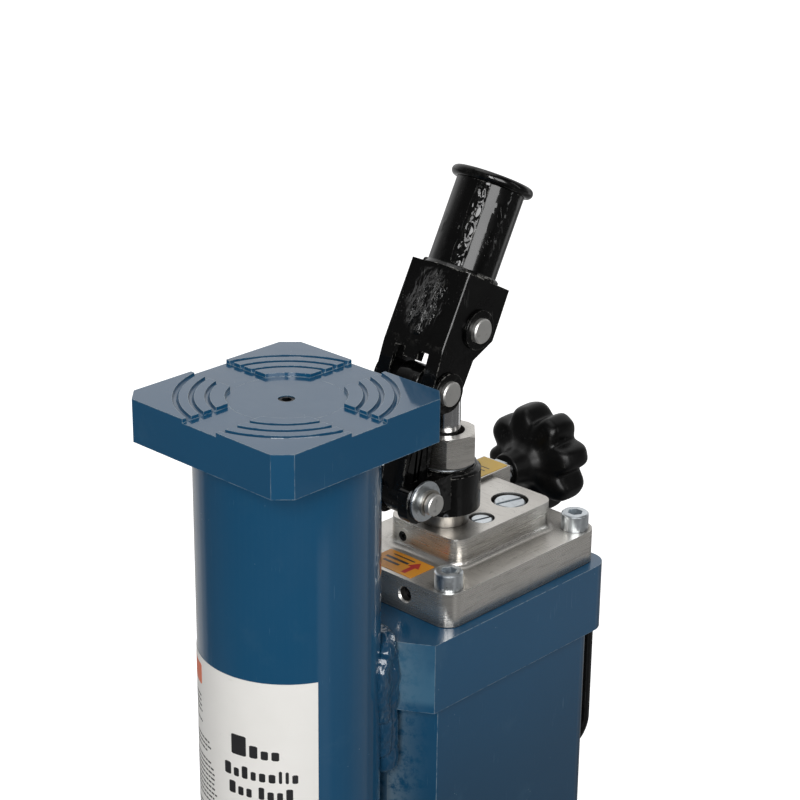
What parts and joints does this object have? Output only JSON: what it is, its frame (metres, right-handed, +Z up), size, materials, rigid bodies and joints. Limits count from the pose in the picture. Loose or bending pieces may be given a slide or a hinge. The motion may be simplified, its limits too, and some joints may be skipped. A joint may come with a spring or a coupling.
{
  "type": "toe jack",
  "caption": "Hydraulic toe jack: lifting column with grooved head plate and low toe, swing-out feet, rear oil tank, hand pump with swivelling lever socket and star release knob.",
  "frame": {"origin": "on the ground plane, on the axis of the lifting column", "axes": "+Z up along the lifting column; the toe points towards -Y, the pump and tank towards +Y; the pump's pins lie along X"},
  "size_m": [0.18, 0.412, 0.4625],
  "materials": {
    "body_paint": "gloss petrol-blue enamel",
    "black_paint": "gloss black enamel over rough steel",
    "machined_steel": "milled steel with light tool marks",
    "zinc_steel": "bright zinc plate",
    "chrome_steel": "hard chrome, ground",
    "plain_steel": "turned steel",
    "black_steel": "black oxide",
    "bronze": "turned bronze",
    "seal_rubber": "nitrile rubber",
    "knob_plastic": "moulded black phenolic",
    "label_film": "printed vinyl film",
    "notice_film": "printed vinyl film"
  },
  "bodies": {
    "base": {"base_plate": "body_paint", "guide_column": "plain_steel", "column_guide_band": "bronze", "ram_rod": "chrome_steel", "base_bolt": "plain_steel", "piston_head": "plain_steel", "piston_seals": "seal_rubber", "piston_nut": "plain_steel", "leg_pivot_bolts": "zinc_steel"},
    "leg_left": {"leg_left": "body_paint"},
    "leg_right": {"leg_right": "body_paint"},
    "housing": {"lifting_tube": "body_paint", "head_plate": "body_paint", "cylinder_barrel": "body_paint", "vent_screw": "black_steel", "cylinder_gland": "plain_steel", "rod_wiper": "seal_rubber", "tube_guide_bush": "bronze", "toe": "body_paint", "toe_weld": "body_paint", "tube_label": "label_film", "tank_shell": "body_paint", "tank_floor": "body_paint", "tank_collar": "body_paint", "tank_weld": "body_paint", "carry_handle": "black_paint", "filler_plug": "zinc_steel", "pressure_adapter": "zinc_steel", "pressure_pipe": "zinc_steel", "block_gasket": "seal_rubber", "pump_block": "machined_steel", "block_screws": "zinc_steel", "valve_plugs": "zinc_steel", "check_balls": "zinc_steel", "check_springs": "plain_steel", "safety_valve": "black_steel", "port_plugs": "black_steel", "notice_labels": "notice_film", "pump_barrel": "plain_steel", "plunger_seals": "seal_rubber", "gland_nut": "machined_steel", "thrust_washer": "zinc_steel", "suction_tube": "plain_steel", "suction_strainer": "bronze", "spindle_gland": "zinc_steel"},
    "spindle": {"release_spindle": "chrome_steel"},
    "knob": {"star_knob": "knob_plastic", "knob_insert": "bronze"},
    "pump_ring": {"swivel_ring": "black_paint", "fulcrum_pin": "zinc_steel", "fulcrum_washers": "zinc_steel", "fulcrum_clips": "plain_steel"},
    "link": {"fulcrum_link": "black_paint"},
    "lever": {"lever_bracket": "black_paint", "handle_socket": "black_paint", "lever_pins": "zinc_steel", "lever_washers": "black_paint", "lever_spacers": "zinc_steel"},
    "plunger": {"plunger": "chrome_steel"}
  },
  "joints": [
    {"name": "lift", "type": "slide", "parent": "base", "child": "housing", "axis": [0, 0, 1], "range_m": [0, 0.205]},
    {"name": "left_foot_swing", "type": "hinge", "parent": "base", "child": "leg_left", "pos_m": [-0.066, -0.03, 0.006], "axis": [0, 0, -1], "range_deg": [0, 90]},
    {"name": "right_foot_swing", "type": "hinge", "parent": "base", "child": "leg_right", "pos_m": [0.066, -0.03, 0.006], "axis": [0, 0, 1], "range_deg": [0, 90]},
    {"name": "lever_swivel", "type": "hinge", "parent": "housing", "child": "pump_ring", "pos_m": [0, 0.123, 0.28], "axis": [0, 0, 1], "range_deg": [-90, 90]},
    {"name": "link_swing", "type": "hinge", "parent": "pump_ring", "child": "link", "pos_m": [0, 0.088, 0.285], "axis": [-1, 0, 0], "range_deg": [-13.8, 2.2]},
    {"name": "lever_swing", "type": "hinge", "parent": "link", "child": "lever", "pos_m": [0, 0.099, 0.3475], "axis": [-1, 0, 0], "range_deg": [-7.5, 52.5]},
    {"name": "plunger_stroke", "type": "slide", "parent": "pump_ring", "child": "plunger", "axis": [0, 0, 1], "range_m": [-0.0201, 0.003]},
    {"name": "spindle_travel", "type": "slide", "parent": "housing", "child": "spindle", "axis": [0, 1, 0], "range_m": [0, 0.00152]},
    {"name": "knob_turn", "type": "hinge", "parent": "spindle", "child": "knob", "pos_m": [-0.0304, 0.24, 0.2515], "axis": [0, 1, 0], "range_deg": [0, 360]}
  ],
  "couplings": [
    {"joint": "link_swing", "follows": "lever_swing", "ratio": -0.2587},
    {"joint": "plunger_stroke", "follows": "lever_swing", "m_per_rad": -0.021696},
    {"joint": "spindle_travel", "follows": "knob_turn", "m_per_rad": 0.00023873}
  ]
}
